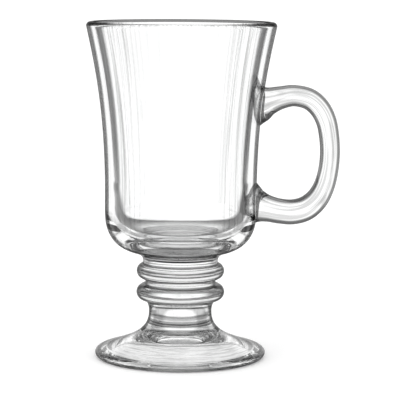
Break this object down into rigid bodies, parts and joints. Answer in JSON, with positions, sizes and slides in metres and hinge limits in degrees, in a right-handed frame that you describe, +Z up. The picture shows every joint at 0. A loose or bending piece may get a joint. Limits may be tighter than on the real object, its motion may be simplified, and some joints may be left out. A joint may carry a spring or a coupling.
{
  "type": "irish coffee mug",
  "caption": "Footed clear glass mug with a flared thick-walled bowl, a ringed short stem, a wide round foot and a D-shaped loop handle on one side.",
  "frame": {"origin": "on the bowl's axis, in the plane of the foot's resting ring", "axes": "+Z up along the bowl's axis, +X towards the handle, Y across the handle's plane"},
  "size_m": [0.1134, 0.0848, 0.1505],
  "materials": {
    "bowl_glass": "clear, fire-polished, faint upright draw lines",
    "handle_glass": "clear, fire-polished, faint draw lines along the loop",
    "ring_glass": "clear, fire-polished, faint lines round the rings",
    "stem_glass": "clear, fire-polished",
    "foot_glass": "clear, fire-polished, faint lines round the foot"
  },
  "bodies": {
    "root": {"bowl": "bowl_glass", "handle": "handle_glass", "upper_ring": "ring_glass", "lower_ring": "ring_glass", "stem": "stem_glass", "foot": "foot_glass"}
  },
  "joints": []
}
